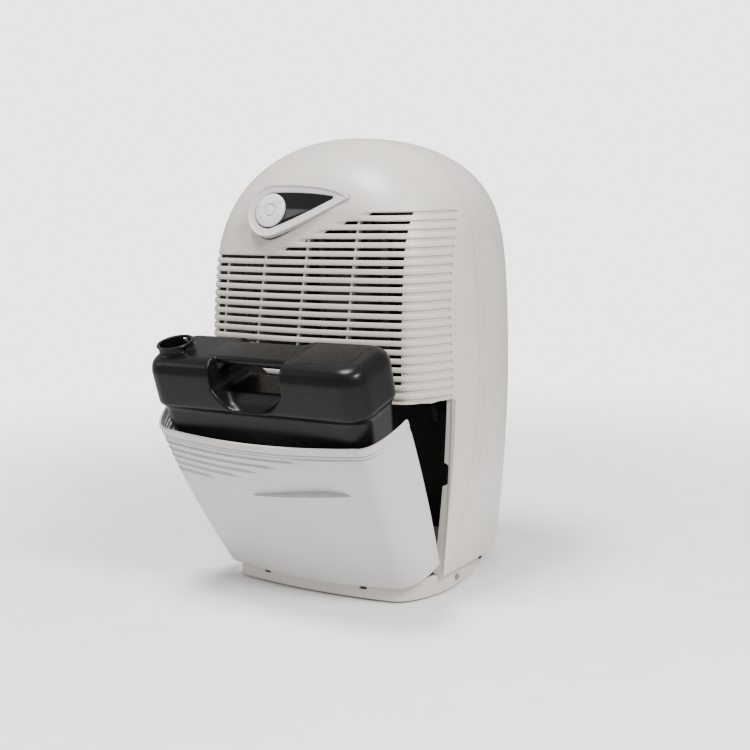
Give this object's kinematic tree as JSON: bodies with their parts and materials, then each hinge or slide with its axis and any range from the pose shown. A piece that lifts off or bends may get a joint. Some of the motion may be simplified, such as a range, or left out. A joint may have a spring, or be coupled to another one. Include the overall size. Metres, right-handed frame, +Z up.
{
  "type": "dehumidifier",
  "caption": "Upright household dehumidifier with louvred front, tilting bucket door and lift-out water tank, shown open for emptying.",
  "frame": {"origin": "on the floor below the middle of the base pan", "axes": "+Z up, front of the machine faces -Y, +X is the right side seen from the front"},
  "size_m": [0.345, 0.4083, 0.544],
  "materials": {
    "cream_abs": "moulded ABS, warm off-white, satin gloss",
    "white_abs": "moulded ABS, neutral off-white, satin",
    "base_abs": "moulded ABS, off-white",
    "black_tank": "blow-moulded polyethylene, black, satin",
    "black_abs": "moulded plastic, black, matt",
    "window_black": "gloss black display window",
    "key_grey": "light grey keys, satin",
    "rubber": "black rubber",
    "aluminium": "aluminium fins and cans",
    "copper": "drawn copper tube",
    "galvanised": "zinc-coated pressed steel",
    "steel": "bright zinc-plated steel",
    "motor_grey": "painted motor casing",
    "compressor_black": "black stoved enamel",
    "circuit_green": "circuit board",
    "filter_grey": "washable foam filter"
  },
  "bodies": {
    "case": {"accumulator": "compressor_black", "base_pan": "base_abs", "compressor": "compressor_black", "compressor_mount_1": "rubber", "compressor_mount_2": "rubber", "compressor_mount_3": "rubber", "compressor_plate": "galvanised", "condenser_coil": "aluminium", "control_bezel": "white_abs", "control_board": "circuit_green", "cord_inlet": "black_abs", "deck": "black_abs", "discharge_pipe": "copper", "display_window": "window_black", "drain_spigot": "white_abs", "drip_tray": "black_abs", "drip_trough": "black_abs", "evaporator_coil": "aluminium", "fan_motor": "motor_grey", "fan_shroud": "black_abs", "foot_front_left": "rubber", "foot_front_right": "rubber", "foot_rear_left": "rubber", "foot_rear_right": "rubber", "front_cover": "cream_abs", "hinge_pin_left": "steel", "hinge_pin_right": "steel", "motor_bracket": "galvanised", "rear_cover": "cream_abs", "rear_screw_1": "steel", "rear_screw_2": "steel", "rear_screw_3": "steel", "rear_screw_4": "steel", "run_capacitor": "aluminium", "side_screw_left": "steel", "side_screw_right": "steel", "suction_pipe": "copper", "tank_bay": "black_abs", "tank_switch": "black_abs", "terminal_cover": "black_abs"},
    "door": {"bucket_door": "white_abs"},
    "water_tank": {"tank": "black_tank"},
    "fan": {"fan_blade": "white_abs", "fan_shaft": "steel"},
    "intake": {"rear_grille": "cream_abs", "filter_pad": "filter_grey"},
    "mode_key": {"mode_button": "key_grey"},
    "ring_key_a": {"ring_key_1": "key_grey"},
    "ring_key_b": {"ring_key_2": "key_grey"},
    "ring_key_c": {"ring_key_3": "key_grey"},
    "lever": {"switch_lever": "steel"},
    "plug": {"drain_plug": "rubber"}
  },
  "joints": [
    {"name": "door_tilt", "type": "hinge", "parent": "case", "child": "door", "pos_m": [0, -0.1214, 0.02], "axis": [1, 0, 0], "range_deg": [-27.4, 0]},
    {"name": "tank_lift", "type": "slide", "parent": "case", "child": "water_tank", "axis": [0, -0.1045, 0.9945], "range_m": [0, 0.28]},
    {"name": "fan_spin", "type": "hinge", "parent": "case", "child": "fan", "pos_m": [0, 0.02, 0.352], "axis": [0, 1, 0], "continuous": true},
    {"name": "intake_pull", "type": "slide", "parent": "case", "child": "intake", "axis": [0, 1, 0], "range_m": [0, 0.08]},
    {"name": "mode_press", "type": "slide", "parent": "case", "child": "mode_key", "axis": [0, 0.9397, -0.342], "range_m": [0, 0.001], "stiffness_N_per_m": 400, "springref_m": -0.0005},
    {"name": "ring_key_a_press", "type": "slide", "parent": "case", "child": "ring_key_a", "axis": [0, 0.9397, -0.342], "range_m": [0, 0.001], "stiffness_N_per_m": 400, "springref_m": -0.0005},
    {"name": "ring_key_b_press", "type": "slide", "parent": "case", "child": "ring_key_b", "axis": [0, 0.9397, -0.342], "range_m": [0, 0.001], "stiffness_N_per_m": 400, "springref_m": -0.0005},
    {"name": "ring_key_c_press", "type": "slide", "parent": "case", "child": "ring_key_c", "axis": [0, 0.9397, -0.342], "range_m": [0, 0.001], "stiffness_N_per_m": 400, "springref_m": -0.0005},
    {"name": "switch_press", "type": "hinge", "parent": "case", "child": "lever", "pos_m": [0.11, -0.0205, 0.22], "axis": [1, 0, 0], "range_deg": [0, 5], "stiffness_Nm_per_rad": 0.02, "springref_deg": -1.15},
    {"name": "plug_pull", "type": "slide", "parent": "case", "child": "plug", "axis": [0, 1, 0], "range_m": [0, 0.03]}
  ],
  "couplings": [
    {"joint": "tank_lift", "follows": "door_tilt", "m_per_rad": -0.5854}
  ]
}
